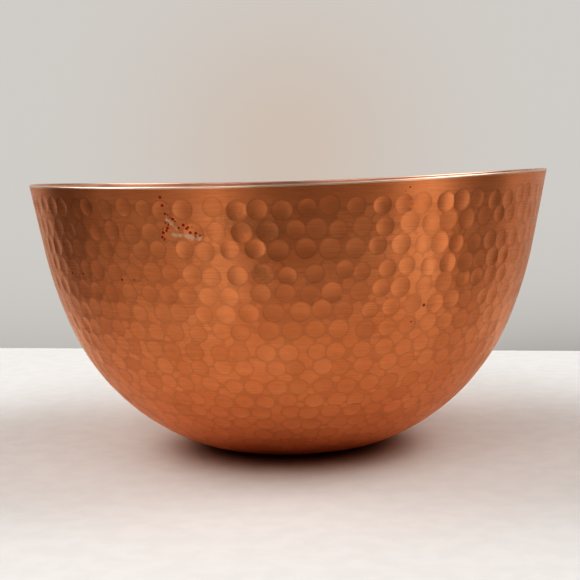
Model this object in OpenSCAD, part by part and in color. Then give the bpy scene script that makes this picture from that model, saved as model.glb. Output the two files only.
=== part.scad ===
// Hammered copper bowl: one sheet of copper raised into a deep round bowl, in millimetres.
// +Z is up. The origin is the centre of the flat foot, on the surface that the bowl stands on.
//
// The wall is a strip of even thickness, turned about Z. From the foot to the rim, its outer face
// is a flat disc, a tight turn, the round belly, the long side and a straight neck. Each stretch
// sets off at the slope where the one below it ends, so the wall has no corners.
// Slopes are in degrees from the level: 0 is flat and 90 is upright.

/* [Overall] */
// Diameter across the rim
rim_d = 254; // [248:1:262]
// Height of the rim, halfway between its high side and its low side
bowl_h = 132; // [128:1:138]
// Thickness of the copper sheet
sheet_t = 1; // [0.7:0.1:1.1]

/* [Foot] */
// Diameter of the flattened foot
foot_d = 60; // [50:1:66]
// Radius of the turn around the foot
turn_r = 58; // [45:1:65]
// Slope where the turn ends and the belly begins
belly_slope = 24; // [20:1:27]

/* [Wall] */
// Slope where the belly ends and the side begins
side_slope = 67; // [64:1:69]
// Radius of the side, which is nearly straight
side_r = 200; // [180:5:215]
// Slope of the straight neck under the rim
neck_slope = 79; // [78:0.5:80]

/* [Rim] */
// Thickness of the rounded rim edge, a little upset by the hammer
rim_t = 1.2; // [1.2:0.1:2]
// How far the rim, trimmed by hand, runs out of level, in degrees: +X is its high side
rim_tilt = 0.6; // [0:0.1:1.2]

/* [Quality] */
// Segments in a full circle
$fn = 240; // [96:24:360]
// Largest change of slope between two facets of a round stretch, in degrees
facet = 2; // [1:0.5:4]

/* [Hidden] */

copper = [0.72, 0.38, 0.22];

// The way up the wall at a slope, and the way its outer face looks there.
function along(slope) = [cos(slope), sin(slope)];
function outward(slope) = [sin(slope), -cos(slope)];
function cross_size(a, b) = a[0] * b[1] - a[1] * b[0];

// The step from the foot's end of an arc to its rim end, for a radius of 1.
function unit_arc(from, to) = outward(to) - outward(from);

// The middle of the rim edge's own round section, as radius and height.
rim_mid = [(rim_d - rim_t) / 2, bowl_h - rim_t / 2];

// The outer face leaves the foot at one point, and ends beside the middle of the rim edge.
foot_edge = [foot_d / 2, 0];
face_end = rim_mid + sheet_t / 2 * outward(neck_slope);

// The belly's radius and the neck's length are what the other stretches leave to be made up.
turn_step = turn_r * unit_arc(0, belly_slope);
side_step = side_r * unit_arc(side_slope, neck_slope);
rest = face_end - foot_edge - turn_step - side_step;
belly_unit = unit_arc(belly_slope, side_slope);
neck_unit = along(neck_slope);
belly_r = cross_size(rest, neck_unit) / cross_size(belly_unit, neck_unit);
neck_len = cross_size(belly_unit, rest) / cross_size(belly_unit, neck_unit);

// Where the turn, the belly, the side and the neck start, with their slopes and radii.
starts = [
    foot_edge,
    foot_edge + turn_step,
    foot_edge + turn_step + belly_r * belly_unit,
    face_end - neck_len * neck_unit
];
slopes = [0, belly_slope, side_slope, neck_slope];
radii = [turn_r, belly_r, side_r];

// The neck is first made too long, by enough to hold the rim's high side, and then trimmed.
trim_spare = rim_d * tan(rim_tilt) + rim_t;

// The neck leans outward, so the trimmed edge is a circle moved a little to the high side.
rim_shift = rim_mid[0] * tan(rim_tilt) / tan(neck_slope);

// The points of a round stretch, all but the last, which starts the next stretch.
function arc_points(start, r, from, to) = [
    for (slope = [from : (to - from) / ceil((to - from) / facet) : to - facet / 2])
        start + r * unit_arc(from, slope)
];

// The face that lies at a depth inside the outer face, from the bowl's axis to the neck's end.
function face(depth) = concat(
    [[0, depth]],
    [for (i = [0 : 2]) each arc_points(
        starts[i] - depth * outward(slopes[i]), radii[i] - depth, slopes[i], slopes[i + 1]
    )],
    [for (p = [starts[3], face_end + trim_spare * neck_unit]) p - depth * outward(neck_slope)]
);

function reversed(points) = [for (i = [len(points) - 1 : -1 : 0]) points[i]];

// The wall before trimming: its outer and inner faces, a sheet's thickness apart, turned about Z.
module turned_wall() {
    rotate_extrude()
        polygon(concat(face(0), reversed(face(sheet_t))));
}

// Puts what it holds into the slightly tilted plane through the middle of the rim edge.
module on_rim() {
    translate([0, 0, rim_mid[1]])
        rotate([0, -rim_tilt, 0])
            children();
}

// The spare metal above the rim's plane, which is cut away.
module trimmings() {
    on_rim()
        cylinder(h = 3 * trim_spare, r = rim_d);
}

// The rounded edge that finishes the rim.
module rim_edge() {
    on_rim()
        translate([rim_shift, 0, 0])
            rotate_extrude()
                translate([rim_mid[0], 0])
                    circle(d = rim_t, $fn = 32);
}

// The bowl: the turned wall, trimmed at the rim and finished with the rounded edge.
module bowl_shell() {
    color(copper)
        union() {
            difference() {
                turned_wall();
                trimmings();
            }
            rim_edge();
        }
}

bowl_shell();
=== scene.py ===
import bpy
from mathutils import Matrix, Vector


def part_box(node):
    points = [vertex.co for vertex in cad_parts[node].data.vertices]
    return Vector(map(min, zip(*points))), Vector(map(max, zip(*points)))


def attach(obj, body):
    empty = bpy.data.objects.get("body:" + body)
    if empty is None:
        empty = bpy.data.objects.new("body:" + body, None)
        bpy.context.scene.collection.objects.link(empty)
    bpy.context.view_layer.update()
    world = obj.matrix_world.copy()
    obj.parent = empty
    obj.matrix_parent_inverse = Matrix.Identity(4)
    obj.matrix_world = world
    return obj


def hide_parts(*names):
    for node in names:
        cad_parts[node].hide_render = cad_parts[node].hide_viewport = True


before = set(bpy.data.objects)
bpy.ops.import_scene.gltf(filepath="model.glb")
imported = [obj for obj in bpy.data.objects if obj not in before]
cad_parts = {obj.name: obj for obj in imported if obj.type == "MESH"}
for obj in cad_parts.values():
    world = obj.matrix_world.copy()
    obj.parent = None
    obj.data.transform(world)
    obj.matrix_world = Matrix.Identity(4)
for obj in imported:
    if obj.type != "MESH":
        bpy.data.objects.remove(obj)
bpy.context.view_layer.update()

# A hammered copper bowl, in metres, in the CAD model's frame. The bowl is one closed mesh: an outer
# skin with its hammer marks, an inner skin, and the rounded rim edge that joins them.

import math

import bpy
import numpy as np
from mathutils import Matrix, Vector, noise
from mathutils.geometry import delaunay_2d_cdt

MM = 0.001
SEED = 26

# ---------------------------------------------------------------------------------------------
# The wall's section, as the CAD model has it
# ---------------------------------------------------------------------------------------------

cad_low, cad_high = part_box("bowl_shell")

SHEET = 1.0 * MM
RIM_T = 1.2 * MM
RIM_TILT = math.radians(0.6)
FOOT_R = 30 * MM
TURN_R = 58 * MM
SIDE_R = 200 * MM
BELLY_SLOPE, SIDE_SLOPE, NECK_SLOPE = (math.radians(a) for a in (24, 67, 79))

RIM_MID_R = cad_high.y - RIM_T / 2
RIM_MID_Z = cad_high.z - RIM_T / 2 - RIM_MID_R * math.sin(RIM_TILT)


def outward(slope):
    """The way the outer face looks where the wall climbs at this slope, as radius and height."""
    return np.array([math.sin(slope), -math.cos(slope)])


def arc(start_slope, end_slope):
    """The step along an arc of radius 1 between two slopes."""
    return outward(end_slope) - outward(start_slope)


def solve_wall():
    """The belly's radius and the neck's length, which close the section between foot and rim."""
    end = np.array([RIM_MID_R, RIM_MID_Z]) + SHEET / 2 * outward(NECK_SLOPE)
    fixed = [FOOT_R, 0] + TURN_R * arc(0, BELLY_SLOPE) + SIDE_R * arc(SIDE_SLOPE, NECK_SLOPE)
    neck = [math.cos(NECK_SLOPE), math.sin(NECK_SLOPE)]
    return np.linalg.solve(np.column_stack([arc(BELLY_SLOPE, SIDE_SLOPE), neck]), end - fixed)


BELLY_R, NECK_LEN = solve_wall()

# Distances along the outer face from the foot's centre, where one stretch ends and the next starts.
STRETCHES = [
    FOOT_R,
    TURN_R * BELLY_SLOPE,
    BELLY_R * (SIDE_SLOPE - BELLY_SLOPE),
    SIDE_R * (NECK_SLOPE - SIDE_SLOPE),
    NECK_LEN,
]
KNOTS = np.concatenate([[0], np.cumsum(STRETCHES)])
KNOT_SLOPES = [0, 0, BELLY_SLOPE, SIDE_SLOPE, NECK_SLOPE, NECK_SLOPE]
RIM_S = KNOTS[-1]

# The section is walked in small steps, past the rim by enough for the rim's high side.
WALK = np.linspace(0, RIM_S + 5 * MM, 8001)


def walked(rate):
    """The running sum of a rate of change along the walk."""
    steps = (rate[1:] + rate[:-1]) / 2 * np.diff(WALK)
    return np.concatenate([[0], np.cumsum(steps)])


WALK_SLOPE = np.interp(WALK, KNOTS, KNOT_SLOPES)
WALK_R = walked(np.cos(WALK_SLOPE))
WALK_Z = walked(np.sin(WALK_SLOPE))

# The radius of each ring when the bowl's face is spread flat without changing its angles.
WALK_SPREAD = np.exp(walked(1 / np.maximum(WALK_R, FOOT_R))) * FOOT_R
WALK_SPREAD = np.where(WALK < FOOT_R, WALK, WALK_SPREAD / math.e)


def face_points(angle, s):
    """Points of the outer face, with the face's outward direction at each."""
    r, z, slope = (np.interp(s, WALK, t) for t in (WALK_R, WALK_Z, WALK_SLOPE))
    points = np.column_stack([r * np.cos(angle), r * np.sin(angle), z])
    looks = np.column_stack(
        [np.sin(slope) * np.cos(angle), np.sin(slope) * np.sin(angle), -np.cos(slope)]
    )
    return points, looks


# How the hand-trimmed rim rises and falls: the size of each wave and the bearing of its first crest,
# for one wave around the bowl, which is its tilt, and for two, which lift the two sides.
RIM_WAVES = [(1.30 * MM, math.radians(-27)), (1.56 * MM, math.radians(-4.5))]
# How far the whole rim stands over the CAD model's.
RIM_RAISE = 0.2 * MM


def stretched(angle, s):
    """Distances along the wall after it is stretched to meet a rim that is not level."""
    lift = RIM_RAISE
    for count, (size, crest) in enumerate(RIM_WAVES, start=1):
        lift = lift + size * np.cos(count * (angle - crest))
    return s + lift / math.sin(NECK_SLOPE) * np.clip(s / RIM_S, 0, 1) ** 3


# ---------------------------------------------------------------------------------------------
# Hammer marks
# ---------------------------------------------------------------------------------------------

ROW_PITCH = 9.1 * MM
MARK_PITCH = 10.2 * MM
MARK_R = 4.35 * MM
MARK_DEPTH = 0.34 * MM
FIRST_ROW = 9.2 * MM

# How unevenly the marks are struck: around a row as a share of their pitch, up and down the wall,
# and in radius and depth as shares. Each row also wanders up and down twice around the bowl.
ANGLE_SPREAD = 0.09
HEIGHT_SPREAD = 0.45 * MM
RADIUS_SPREAD = 0.05
DEPTH_SPREAD = 0.22
ROW_WANDER = 0.8 * MM

# The mesh has rings of points just inside and just outside each mark's edge, at these shares of its
# radius. Earlier marks' points and the ground's points keep these gaps from a mark's outer ring.
INNER_RING = 0.955
OUTER_RING = 1.045
STRUCK_GAP = 0.25 * MM
LAND_GAP = 0.8 * MM

# Over what share of its radius a mark's painted edge shade builds up towards its edge, and out to what
# share of its radius a mark has it. This darker band is painted shade in the crease at the mark's
# edge.
EDGE_SHADE_WIDTH = 0.3
EDGE_SHADE_REACH = 1.06


def hammer_marks(rng):
    """Centres (angle, s), radii, depths and tones of the marks, row by row from the rim down."""
    rows = []
    s = RIM_S - FIRST_ROW
    while s > FOOT_R - MARK_R:
        ring = 2 * math.pi * np.interp(s, WALK, WALK_R)
        count = round(ring / MARK_PITCH)
        even = (np.arange(count) + rng.uniform()) / count
        angle = 2 * math.pi * (even + rng.normal(0, ANGLE_SPREAD, count) / count)
        place = s + rng.normal(0, HEIGHT_SPREAD, count)
        place = place + ROW_WANDER * np.sin(2 * angle + rng.uniform(0, 6))
        radius = MARK_R * np.clip(rng.normal(1, RADIUS_SPREAD, count), 0.85, 1.12)
        depth = MARK_DEPTH * np.clip(rng.normal(1, DEPTH_SPREAD, count), 0.5, 1.6)
        tone = rng.uniform(-1, 1, count)
        rows.append(np.column_stack([angle, place, radius, depth, tone]))
        s -= ROW_PITCH
    marks = np.concatenate(rows)
    return marks[rng.permutation(len(marks))]


rng = np.random.default_rng(SEED)
MARKS = hammer_marks(rng)
MARK_CENTRES = face_points(MARKS[:, 0], MARKS[:, 1])[0]


def in_chunks(task, points, size=4096):
    """The results of a task that is run on a few thousand points at a time, joined."""
    return np.concatenate([task(points[i : i + size]) for i in range(0, len(points), size)])


def mark_distances(points):
    """How far each point is from each mark's centre."""
    squares = (points**2).sum(1)[:, None] + (MARK_CENTRES**2).sum(1) - 2 * points @ MARK_CENTRES.T
    return np.sqrt(np.maximum(squares, 0))


def last_strike(shares, reach):
    """For each row of shares of the marks' radii: is it within reach of a mark, the last such mark
    to be struck, and the share of that mark's radius."""
    held = shares < reach
    last = held.shape[1] - 1 - held[:, ::-1].argmax(1)
    return held.any(1), last, shares[np.arange(len(shares)), last]


def marks_depth(points):
    """The height of the hammered face over the smooth one: 0 or less. A later mark wipes out what
    it overlaps of an earlier one."""

    def depth(some):
        held, last, share = last_strike(mark_distances(some) / MARKS[:, 2], 1.0)
        return np.where(held, MARKS[last, 3] * (share**2 - 1), 0)

    return in_chunks(depth, points)


def mark_traces(points):
    """For each point, how near it is to the edge of a mark, which the copper darkens there as painted
    shade, and the tone of the mark that holds it.
    """

    def trace(some):
        held, last, share = last_strike(mark_distances(some) / MARKS[:, 2], EDGE_SHADE_REACH)
        edge = held * (1 - np.clip(np.abs(share - 1) / EDGE_SHADE_WIDTH, 0, 1))
        tone = MARKS[last, 4] * (share < 1)
        return np.column_stack([edge, tone])

    return in_chunks(trace, points)


def waves(points, length, offset=0.0):
    """Smooth noise from -1 to 1 with bumps of about this length."""
    shift = Vector((offset, offset, offset))
    return np.array([noise.noise(Vector(p) / length + shift) for p in points])


# ---------------------------------------------------------------------------------------------
# The bowl's mesh
# ---------------------------------------------------------------------------------------------

RIM_COUNT = 420
# Where the round rim edge takes over from each face of the wall, seen from the middle of the edge.
RIM_SEAM = math.acos(SHEET / RIM_T)
RIM_ROWS = 12
NICK_COUNT = 26
# The share of the rim edge's own radius that the deepest nick takes off.
NICK_SHARE = 0.28
SKIN_TOP = RIM_S - RIM_T / 2 * math.sin(RIM_SEAM)
RIM_ANGLES = np.arange(RIM_COUNT) / RIM_COUNT * 2 * math.pi


def grid_points(spacing, top):
    """Staggered rings of points over the whole face, below its top edge."""
    s = top - spacing
    found = [[0.0, 0.0]]
    row = 0
    while s > spacing / 2:
        count = max(6, round(2 * math.pi * np.interp(s, WALK, WALK_R) / spacing))
        angles = (np.arange(count) + row % 2 / 2) / count * 2 * math.pi
        found.extend([a, s] for a in angles)
        s -= spacing * 0.87
        row += 1
    return np.array(found)


def mark_points():
    """Rings of points on every mark, leaving out what a later mark has struck over."""
    rings = [(0.0, 1), (0.5, 10), (INNER_RING, 22), (OUTER_RING, 22)]
    angle, s, owner = [], [], []
    for share, count in rings:
        turn = np.arange(count) / count * 2 * math.pi
        across = share * MARKS[:, 2, None] * np.cos(turn)
        along = share * MARKS[:, 2, None] * np.sin(turn)
        place = MARKS[:, 1, None] + along
        r = np.interp(place, WALK, WALK_R)
        angle.append((MARKS[:, 0, None] + across / np.maximum(r, 2 * MM)).ravel())
        s.append(place.ravel())
        owner.append(np.repeat(np.arange(len(MARKS)), count))
    angle, s, owner = (np.concatenate(x) for x in (angle, s, owner))
    points = face_points(angle, s)[0]
    reach = MARKS[:, 2] * OUTER_RING + STRUCK_GAP
    numbers = np.arange(len(MARKS))

    def struck_over(rows):
        near = mark_distances(points[rows]) < reach
        return (near & (numbers > owner[rows, None])).any(1)

    keep = ~in_chunks(struck_over, np.arange(len(points)))
    keep &= (s < SKIN_TOP - 0.6 * MM) & (s > 1 * MM)
    return np.column_stack([angle, s])[keep]


def land_points():
    """Points on the smooth ground between the marks."""
    ground = grid_points(2.4 * MM, SKIN_TOP)

    def is_clear(some):
        return (mark_distances(some) > MARKS[:, 2] * OUTER_RING + LAND_GAP).all(1)

    return ground[in_chunks(is_clear, face_points(ground[:, 0], ground[:, 1])[0])]


def skin(places):
    """Triangles over points given as (angle, s). The rim's ring of points comes first."""
    rim = np.column_stack([RIM_ANGLES, np.full(RIM_COUNT, SKIN_TOP)])
    places = np.concatenate([rim, places])
    spread = np.interp(places[:, 1], WALK, WALK_SPREAD)
    flat = np.column_stack([spread * np.cos(places[:, 0]), spread * np.sin(places[:, 0])])
    flat /= flat.max()
    result = delaunay_2d_cdt([Vector(p) for p in flat], [], [], 0, 1e-7)
    first = [origins[0] for origins in result[3]]
    triangles = np.array([[first[v] for v in face] for face in result[2]])
    return places, triangles


def lumps(points):
    """The gentle unevenness of a wall raised by hand: 0 or less, and nothing on the foot."""
    away = np.hypot(points[:, 0], points[:, 1]) / FOOT_R - 1
    slow = 0.12 * MM * (waves(points, 70 * MM) - 1)
    quick = 0.04 * MM * (waves(points, 13 * MM, 7.0) - 1)
    return (slow + quick) * np.clip(away, 0, 1)


def outer_height(points):
    """The outer face has the full depth of the marks, and the lumps."""
    return marks_depth(points) + lumps(points)


# How much of a mark's depth shows on the inner face.
SHOW_THROUGH = 0.3


def inner_height(points):
    """The inner face follows the lumps, and shows each mark as a faint swelling."""

    def swelling(some):
        share = mark_distances(some) / MARKS[:, 2]
        return np.minimum((MARKS[:, 3] * (share**2 - 1)).min(1), 0)

    return SHOW_THROUGH * in_chunks(swelling, points) + lumps(points)


def raised(places, height, depth):
    """Points of a face at a depth in the sheet with its height added, and their normals."""
    angle, s = places[:, 0], places[:, 1]
    smooth = face_points(angle, s)[0]
    final, looks = face_points(angle, stretched(angle, s))
    around = np.column_stack([-np.sin(angle), np.cos(angle), np.zeros(len(angle))])
    uphill = np.cross(looks, around)
    step = 0.05 * MM
    here = height(smooth)
    rise_around = (height(smooth + step * around) - here) / step
    rise_uphill = (height(smooth + step * uphill) - here) / step
    normals = looks - rise_around[:, None] * around - rise_uphill[:, None] * uphill
    normals /= np.linalg.norm(normals, axis=1)[:, None]
    return final + (here - depth)[:, None] * looks, normals


def rim_nicks(rng):
    """How much each point around the rim edge is worn down, from 0 to 1."""
    wear = np.zeros(RIM_COUNT)
    for centre in rng.uniform(0, 2 * math.pi, NICK_COUNT):
        away = np.abs((RIM_ANGLES - centre + math.pi) % (2 * math.pi) - math.pi) * RIM_MID_R
        wear += rng.uniform(0.3, 1) * np.exp(-((away / rng.uniform(0.8 * MM, 2 * MM)) ** 2))
    return np.clip(wear, 0, 1)


def rim_rings(outer_edge, inner_edge, looks, rng):
    """The rings of points over the rim edge, between the edges of the two skins."""
    middle = (outer_edge + inner_edge) / 2
    up = np.cross(looks, np.column_stack([-np.sin(RIM_ANGLES), np.cos(RIM_ANGLES), 0 * RIM_ANGLES]))
    middle = middle + up * RIM_T / 2 * math.sin(RIM_SEAM)
    wear = rim_nicks(rng)[:, None]
    rings = []
    for turn in np.linspace(-RIM_SEAM, math.pi + RIM_SEAM, RIM_ROWS + 2)[1:-1]:
        side = math.cos(turn) * looks + math.sin(turn) * up
        worn = 1 - NICK_SHARE * wear * max(0, math.sin(turn + 0.5))
        rings.append((middle + side * RIM_T / 2 * worn, side))
    return rings


def build_bowl():
    """The bowl as one closed mesh. Its material slots are 0 outside, 1 inside, and 2 on the outer
    half of the rim edge, which is worn bright."""
    outer_places, outer_faces = skin(np.concatenate([mark_points(), land_points()]))
    inner_places, inner_faces = skin(grid_points(2.1 * MM, SKIN_TOP))
    outer, outer_normals = raised(outer_places, outer_height, 0)
    inner, inner_normals = raised(inner_places, inner_height, SHEET)
    looks = face_points(RIM_ANGLES, np.full(RIM_COUNT, RIM_S))[1]
    rings = rim_rings(outer[:RIM_COUNT], inner[:RIM_COUNT], looks, rng)

    points = np.concatenate([outer, inner] + [ring for ring, _ in rings])
    normals = np.concatenate([outer_normals, -inner_normals] + [side for _, side in rings])
    first_ring = len(outer) + len(inner)
    loops = [np.arange(RIM_COUNT)]
    loops += [first_ring + i * RIM_COUNT + np.arange(RIM_COUNT) for i in range(RIM_ROWS)]
    loops += [len(outer) + np.arange(RIM_COUNT)]
    quads = []
    for low, high in zip(loops, loops[1:]):
        quads.append(np.column_stack([low, np.roll(low, -1), np.roll(high, -1), high]))
    quads = np.concatenate(quads)

    faces = outer_faces[:, ::-1].tolist() + (inner_faces + len(outer)).tolist() + quads.tolist()
    mesh = bpy.data.meshes.new("hammered_bowl")
    mesh.from_pydata(points.tolist(), [], faces)
    outer_half = (RIM_ROWS // 2 + 1) * RIM_COUNT
    slots = [0] * len(outer_faces) + [1] * len(inner_faces)
    slots += [2] * outer_half + [1] * (len(quads) - outer_half)
    mesh.polygons.foreach_set("material_index", slots)
    mesh.polygons.foreach_set("use_smooth", [True] * len(faces))
    mesh.update()
    mesh.normals_split_custom_set_from_vertices(normals.tolist())
    traces = np.zeros((len(points), 2))
    traces[: len(outer)] = mark_traces(face_points(outer_places[:, 0], outer_places[:, 1])[0])
    # The first attribute carries the painted shade along the marks' edges, the second each mark's own
    # tone.
    for name, values in zip(("mark_edge_shade", "mark_tone"), traces.T):
        mesh.attributes.new(name, "FLOAT", "POINT").data.foreach_set("value", values)
    bowl = bpy.data.objects.new("hammered_bowl", mesh)
    bpy.context.collection.objects.link(bowl)
    return bowl


# ---------------------------------------------------------------------------------------------
# Materials
# ---------------------------------------------------------------------------------------------


class Nodes:
    """A short way to write the node tree of a material or a world."""

    def __init__(self, owner):
        owner.use_nodes = True
        self.tree = owner.node_tree
        self.tree.nodes.clear()

    def add(self, kind, inputs=None, **settings):
        """A node of this kind. Inputs that are sockets are linked, and others are set."""
        node = self.tree.nodes.new("ShaderNode" + kind)
        for key, value in settings.items():
            setattr(node, key, value)
        for key, value in (inputs or {}).items():
            if isinstance(value, bpy.types.NodeSocket):
                self.tree.links.new(value, node.inputs[key])
            else:
                node.inputs[key].default_value = value
        return node

    def math(self, operation, a, b=0.0, c=0.5):
        return self.add("Math", {0: a, 1: b, 2: c}, operation=operation).outputs[0]

    def ramp(self, value, stops):
        """A colour ramp between two (position, colour) stops, or two (position, number) ones."""
        node = self.add("ValToRGB", {"Fac": value})
        for element, (position, colour) in zip(node.color_ramp.elements, stops):
            element.position = position
            grey = isinstance(colour, (int, float))
            element.color = (colour, colour, colour, 1) if grey else (*colour, 1)
        return node.outputs["Color"]

    def mix(self, share, a, b):
        node = self.add("Mix", {0: share, 6: a, 7: b}, data_type="RGBA")
        return node.outputs[2]

    def noise(self, vector, scale, detail=2.0, roughness=0.5):
        settings = {"Vector": vector, "Scale": scale, "Detail": detail, "Roughness": roughness}
        return self.add("TexNoise", settings).outputs["Fac"]


SPATTER_COLOUR = (0.55, 0.085, 0.02, 1)
RESIDUE_COLOUR = (0.95, 0.78, 0.62, 1)
TARNISH_COLOUR = (0.5, 0.27, 0.14, 1)
SPECK_COLOUR = (0.2, 0.06, 0.02, 1)

# Places on the wall are bearings from +X and heights. Each run of spots lies along a line between
# two places, and reaches this far from it.
SPATTER = [
    ((-114.6, 127), (-114.3, 119), 1.2 * MM),
    ((-114.0, 119), (-107.8, 111), 2.2 * MM),
    ((-113.8, 116), (-115.2, 109), 1.6 * MM),
]
RESIDUE = [
    ((-113.9, 118), (-112.0, 114), 1.7 * MM),
    ((-112.9, 111.6), (-107.4, 109.8), 2.3 * MM),
]
TARNISH = [
    ((-101, 116.5), (-92, 112), 6.0 * MM),
    ((-96, 96.5), (-95, 94), 4.5 * MM),
]
SPECKS = [
    ((-66.6, 128.7), 0.5 * MM),
    ((-67.5, 127.3), 0.35 * MM),
    ((-60.4, 78.3), 0.9 * MM),
    ((-62.9, 71.2), 0.7 * MM),
    ((-145.2, 92.9), 0.7 * MM),
    ((-140.2, 93.0), 0.7 * MM),
    ((-127.3, 91.5), 0.7 * MM),
    ((-123.9, 91.7), 0.6 * MM),
]


def wall_place(bearing, height_mm):
    """The point of the outer face at a bearing in degrees and a height in millimetres."""
    r = np.interp(height_mm * MM, WALK_Z, WALK_R)
    angle = math.radians(bearing)
    return (r * math.cos(angle), r * math.sin(angle), height_mm * MM)


# How fine the brushing is, per radian around the bowl and per metre up the wall.
BRUSH_AROUND = 9.0
BRUSH_UP = 2400.0


def wall_coordinates(nodes):
    """Object coordinates, and coordinates that are long around the bowl and fine up its wall."""
    position = nodes.add("TexCoord").outputs["Object"]
    x, y, z = nodes.add("SeparateXYZ", {0: position}).outputs
    squares = nodes.math("ADD", nodes.math("MULTIPLY", x, x), nodes.math("MULTIPLY", y, y))
    radius = nodes.math("MAXIMUM", nodes.math("SQRT", squares), 0.002)
    around = [nodes.math("MULTIPLY", nodes.math("DIVIDE", c, radius), BRUSH_AROUND) for c in (x, y)]
    up = nodes.math("MULTIPLY", nodes.math("ADD", radius, z), BRUSH_UP)
    streak = nodes.add("CombineXYZ", {"X": around[0], "Y": around[1], "Z": up}).outputs[0]
    return position, streak


def stained(nodes, position, tone, gloss):
    """The tone and roughness of the wall with its spatter, residue, tarnish and dark specks."""

    def near(start, end, reach):
        """1 along the line between two places on the wall, fading to 0 at this reach."""
        start, end = (Vector(wall_place(*place)) for place in (start, end))
        along = nodes.add("VectorMath", {0: position, 1: start}, operation="SUBTRACT").outputs[0]
        line = end - start
        unit = line / max(line.length_squared, 1e-9)
        share = nodes.add("VectorMath", {0: along, 1: unit}, operation="DOT_PRODUCT")
        share = nodes.add("Clamp", {0: share.outputs["Value"]}).outputs[0]
        foot = nodes.add("VectorMath", {0: line, "Scale": share}, operation="SCALE").outputs[0]
        gap = nodes.add("VectorMath", {0: along, 1: foot}, operation="DISTANCE").outputs["Value"]
        return nodes.math("SUBTRACT", 1.0, nodes.math("DIVIDE", gap, reach))

    spots = nodes.add("TexVoronoi", {"Vector": position, "Scale": 560.0})
    chosen = nodes.add("SeparateXYZ", {0: spots.outputs["Color"]}).outputs[0]
    cloud = nodes.noise(position, 620.0, 3.0)
    for start, end, reach in SPATTER:
        field = near(start, end, reach)
        red = nodes.math("GREATER_THAN", nodes.math("ADD", field, chosen), 0.8)
        red = nodes.math("MULTIPLY", red, nodes.math("GREATER_THAN", field, 0.0))
        spot = nodes.ramp(spots.outputs["Distance"], [(0.3, 0.9), (0.42, 0.0)])
        red = nodes.math("MULTIPLY", red, spot)
        tone = nodes.mix(red, tone, SPATTER_COLOUR)
        gloss = nodes.math("ADD", gloss, nodes.math("MULTIPLY", red, 0.25))
    for start, end, reach in RESIDUE:
        pale = nodes.math("MULTIPLY", near(start, end, reach), 0.5)
        pale = nodes.ramp(nodes.math("ADD", pale, cloud), [(0.74, 0.0), (1.0, 0.75)])
        tone = nodes.mix(pale, tone, RESIDUE_COLOUR)
        gloss = nodes.math("ADD", gloss, nodes.math("MULTIPLY", pale, 0.3))
    for start, end, reach in TARNISH:
        dull = nodes.math("MULTIPLY", near(start, end, reach), 0.6)
        dull = nodes.ramp(nodes.math("ADD", dull, cloud), [(0.55, 0.0), (1.0, 0.4)])
        tone = nodes.mix(dull, tone, TARNISH_COLOUR)
        gloss = nodes.math("ADD", gloss, nodes.math("MULTIPLY", dull, 0.1))
    for place, reach in SPECKS:
        dark = nodes.ramp(near(place, place, reach), [(0.0, 0.0), (0.5, 0.8)])
        tone = nodes.mix(dark, tone, SPECK_COLOUR)
    return tone, gloss


def copper(name, colour, deep, roughness, brushing, bump_mm, hammered=False):
    """Satin copper, brushed around the bowl, with slow changes of tone and gloss."""
    material = bpy.data.materials.new(name)
    nodes = Nodes(material)
    position, streak = wall_coordinates(nodes)
    brushed = nodes.noise(streak, 1.0, 3.0, 0.6)
    cloudy = nodes.noise(position, 38.0, 4.0, 0.6)
    tone = nodes.ramp(cloudy, [(0.35, deep), (0.65, colour)])
    dull = tuple(0.6 * c for c in deep)
    tone = nodes.mix(nodes.ramp(brushed, [(0.4, 0.0), (0.65, 0.22)]), tone, (*dull, 1))
    gloss = nodes.math("MULTIPLY", brushed, brushing)
    gloss = nodes.math("ADD", gloss, nodes.math("MULTIPLY", cloudy, 0.10))
    gloss = nodes.math("ADD", gloss, roughness - brushing / 2 - 0.05)
    if hammered:
        edge = nodes.add("Attribute", attribute_name="mark_edge_shade").outputs["Fac"]
        blow = nodes.add("Attribute", attribute_name="mark_tone").outputs["Fac"]
        # Painted shade: the copper is darkened along each mark's edge, where the crease would shade
        # it.
        tone = nodes.mix(nodes.ramp(edge, [(0.7, 0.0), (0.85, 0.22)]), tone, (*dull, 1))
        tone = nodes.mix(nodes.ramp(blow, [(0.2, 0.0), (1.0, 0.14)]), tone, (*dull, 1))
        gloss = nodes.math("ADD", gloss, nodes.math("MULTIPLY", blow, 0.03))
        tone, gloss = stained(nodes, position, tone, gloss)
    bump = nodes.add("Bump", {"Height": brushed, "Strength": 1.0, "Distance": bump_mm * MM})
    tangent = nodes.add("Tangent", direction_type="RADIAL", axis="Z").outputs[0]
    shader = nodes.add(
        "BsdfPrincipled",
        {
            "Base Color": tone,
            "Metallic": 1.0,
            "Roughness": gloss,
            "Anisotropic": 0.8,
            "Anisotropic Rotation": 0.25,
            "Normal": bump.outputs[0],
            "Tangent": tangent,
        },
    )
    nodes.add("OutputMaterial", {"Surface": shader.outputs[0]})
    return material


def matt(name, colour, grain):
    """A plain matt surface with a faint grain."""
    material = bpy.data.materials.new(name)
    nodes = Nodes(material)
    position = nodes.add("TexCoord").outputs["Object"]
    speck = nodes.noise(position, grain, 3.0)
    shade = tuple(0.97 * c for c in colour)
    tone = nodes.ramp(speck, [(0.4, shade), (0.6, colour)])
    shader = nodes.add("BsdfPrincipled", {"Base Color": tone, "Roughness": 0.6})
    nodes.add("OutputMaterial", {"Surface": shader.outputs[0]})
    return material


# ---------------------------------------------------------------------------------------------
# The object
# ---------------------------------------------------------------------------------------------

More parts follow.
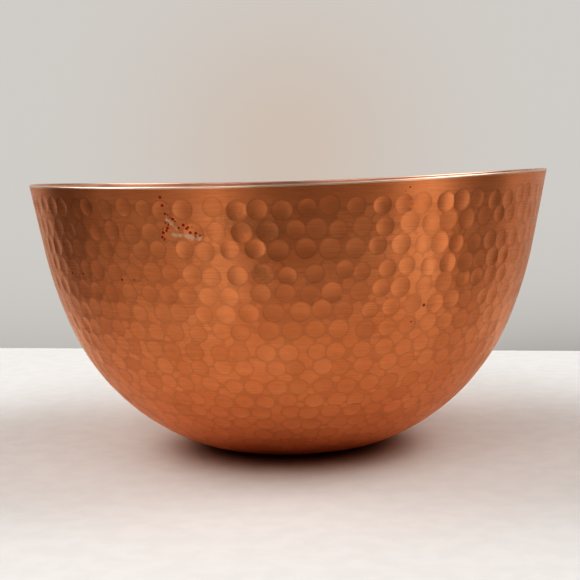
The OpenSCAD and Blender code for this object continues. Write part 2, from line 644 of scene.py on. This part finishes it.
bowl = build_bowl()
bowl.data.materials.append(
    copper("copper_outside", (0.94, 0.435, 0.22), (0.87, 0.375, 0.18), 0.45, 0.1, 0.006, True)
)
bowl.data.materials.append(
    copper("copper_inside", (0.95, 0.62, 0.48), (0.9, 0.55, 0.41), 0.3, 0.1, 0.002)
)
bowl.data.materials.append(
    copper("copper_rim", (0.97, 0.76, 0.63), (0.95, 0.68, 0.55), 0.42, 0.1, 0.002)
)
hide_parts("bowl_shell")
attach(bowl, "root")

# ---------------------------------------------------------------------------------------------
# Table, light and camera
# ---------------------------------------------------------------------------------------------

# Where the table top meets the wall behind it: straight behind the bowl, and per metre to the right.
TABLE_BACK = 0.32
TABLE_SLANT = -0.195
TABLE_FRONT = -0.27
TABLE_SIDE = 0.28


def table_top(material):
    """A level sheet whose back edge follows the foot of a wall that is not quite square on."""
    corners = [
        (-TABLE_SIDE, TABLE_FRONT, 0),
        (TABLE_SIDE, TABLE_FRONT, 0),
        (TABLE_SIDE, TABLE_BACK + TABLE_SLANT * TABLE_SIDE, 0),
        (-TABLE_SIDE, TABLE_BACK - TABLE_SLANT * TABLE_SIDE, 0),
    ]
    mesh = bpy.data.meshes.new("table_top")
    mesh.from_pydata(corners, [], [(0, 1, 2, 3)])
    mesh.materials.append(material)
    sheet = bpy.data.objects.new("table_top", mesh)
    bpy.context.collection.objects.link(sheet)
    return sheet


table = table_top(matt("table_top", (0.76, 0.75, 0.735), 90.0))


WALL_COLOUR = (0.418, 0.406, 0.391)
# What the light that the bowl throws back does to the wall, and how far it spreads, in radians.
WARM_COLOUR = (0.415, 0.365, 0.328)
GLOW_WIDTH = 0.09
ROOM_COLOUR = (0.03, 0.026, 0.022)
# The way to the middle of the wall, to the right and away from the camera.
WALL_MIDDLE = (0.22, 0.976)
# Square to the rays that reach the foot of the wall, and the height over it where its shade halves.
FOOT_PLANE = (0.028, 0.144, 1.0)
SHADE_HEIGHT = 0.024
# How dark the shade is at the foot, from the wall's middle to its right side.
FOOT_SHADE = [(0.0, 0.13), (0.2, 0.24)]
# The way to the middle of the warm patch.
WARM_MIDDLE = (0, 1, 0.016)

# Soft lights in the room. Each has its bearing and height, half its width and height in degrees, and
# its strength. A bearing of 0 is towards the camera, and 90 is to the camera's right.
GLOWS = [
    (-32, -20, 7, 11, 1.1),
    (62, -18, 9, 11, 1.4),
    (-35, 50, 22, 12, 2.2),
    (35, 50, 22, 12, 1.8),
    (-107, 43, 26, 13, 3.8),
    (100, 45, 22, 11, 4.3),
]


def wall_colour(nodes, ray, x):
    """The wall's colour, which is darker at its foot and warm where the bowl lights it."""
    level = nodes.add("VectorMath", {0: ray, 1: FOOT_PLANE}, operation="DOT_PRODUCT")
    depth = nodes.math("MAXIMUM", nodes.math("DIVIDE", level.outputs["Value"], SHADE_HEIGHT), 0.0)
    shade = nodes.math("POWER", 0.5, depth)
    shade = nodes.math("MULTIPLY", shade, nodes.ramp(x, FOOT_SHADE))
    wall = nodes.mix(shade, (*WALL_COLOUR, 1), (0, 0, 0, 1))
    facing = nodes.add("VectorMath", {0: ray, 1: WARM_MIDDLE}, operation="DOT_PRODUCT")
    away = nodes.math("SUBTRACT", 1.0, facing.outputs["Value"])
    warmth = nodes.math("POWER", 0.5, nodes.math("MULTIPLY", away, 2 / GLOW_WIDTH**2))
    return nodes.mix(warmth, wall, (*WARM_COLOUR, 1))


def set_world():
    """A pale wall behind the bowl, a dim room before it, and soft lights overhead."""
    world = bpy.data.worlds.new("room")
    nodes = Nodes(world)
    ray = nodes.add("TexCoord").outputs["Generated"]
    x, y, z = nodes.add("SeparateXYZ", {0: ray}).outputs
    behind = nodes.add("VectorMath", {0: ray, 1: (*WALL_MIDDLE, 0)}, operation="DOT_PRODUCT")
    is_wall = nodes.ramp(behind.outputs["Value"], [(0.44, 0.0), (0.5, 1.0)])
    is_wall = nodes.math("MULTIPLY", is_wall, nodes.ramp(z, [(0.15, 1.0), (0.45, 0.3)]))
    wall = wall_colour(nodes, ray, x)
    light = nodes.mix(is_wall, (*ROOM_COLOUR, 1), wall)
    bearing = nodes.math("ARCTAN2", x, nodes.math("MULTIPLY", y, -1.0))
    height = nodes.math("ARCSINE", z)
    for middle, level, half_width, half_height, strength in GLOWS:
        glow = strength
        for angle, aim, spread in ((bearing, middle, half_width), (height, level, half_height)):
            away = nodes.math("SUBTRACT", angle, math.radians(aim))
            share = nodes.math("DIVIDE", away, math.radians(spread))
            square = nodes.math("MULTIPLY", share, share)
            fade = nodes.math("POWER", 0.5, square)
            glow = nodes.math("MULTIPLY", fade, glow)
        light = nodes.add("VectorMath", {0: light, 1: glow}, operation="ADD").outputs[0]
    background = nodes.add("Background", {"Color": light})
    nodes.add("OutputWorld", {"Surface": background.outputs[0]})
    bpy.context.scene.world = world


set_world()

# The camera stands in front of the bowl, a little above its rim. Its lens is assumed, and its place
# was fitted to the photograph with that lens.
CAMERA_DISTANCE = 0.629
CAMERA_HEIGHT = 0.1368
CAMERA_PITCH = math.radians(5.48)
CAMERA_ROLL = math.radians(-1.3)
CAMERA_LENS = 77.6


def add_camera():
    """The camera that looks at the bowl as the photograph does."""
    data = bpy.data.cameras.new("camera")
    data.lens = CAMERA_LENS
    data.sensor_width = 36
    camera = bpy.data.objects.new("camera", data)
    level = Matrix.Rotation(math.radians(90) - CAMERA_PITCH, 4, "X")
    place = Matrix.Translation((0, -CAMERA_DISTANCE, CAMERA_HEIGHT))
    camera.matrix_world = place @ level @ Matrix.Rotation(CAMERA_ROLL, 4, "Z")
    bpy.context.collection.objects.link(camera)
    bpy.context.scene.camera = camera


add_camera()

view = bpy.context.scene.view_settings
view.view_transform = "Standard"
view.look = "Very High Contrast"
